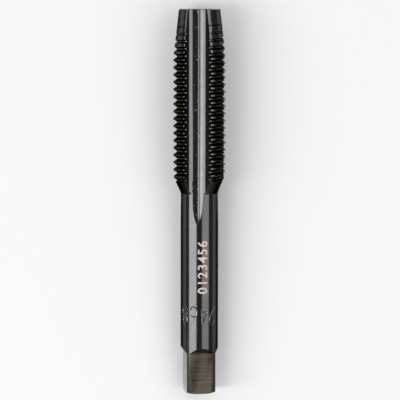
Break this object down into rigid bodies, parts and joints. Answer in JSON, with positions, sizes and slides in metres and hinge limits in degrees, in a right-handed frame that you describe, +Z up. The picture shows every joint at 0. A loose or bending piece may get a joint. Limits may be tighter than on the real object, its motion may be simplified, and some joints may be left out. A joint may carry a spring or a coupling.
{
  "type": "thread tap",
  "caption": "Straight-flute hand tap: a threaded and fluted cutting end with a long lead chamfer, a stepped-down plain shank and a square drive end.",
  "frame": {"origin": "on the surface that the tap lies on, under the middle of its overall box", "axes": "+Y towards the cutting tip, +Z up, +X to the right seen from above with the tip away; the tap's own axis leans so that the shank end is lower, as it comes to rest"},
  "size_m": [0.0108, 0.08, 0.0117],
  "materials": {
    "tool_steel": "ground high-speed steel with a dark oxide finish, bare grey on the milled square"
  },
  "bodies": {
    "root": {"thread_tap": "tool_steel"}
  },
  "joints": []
}
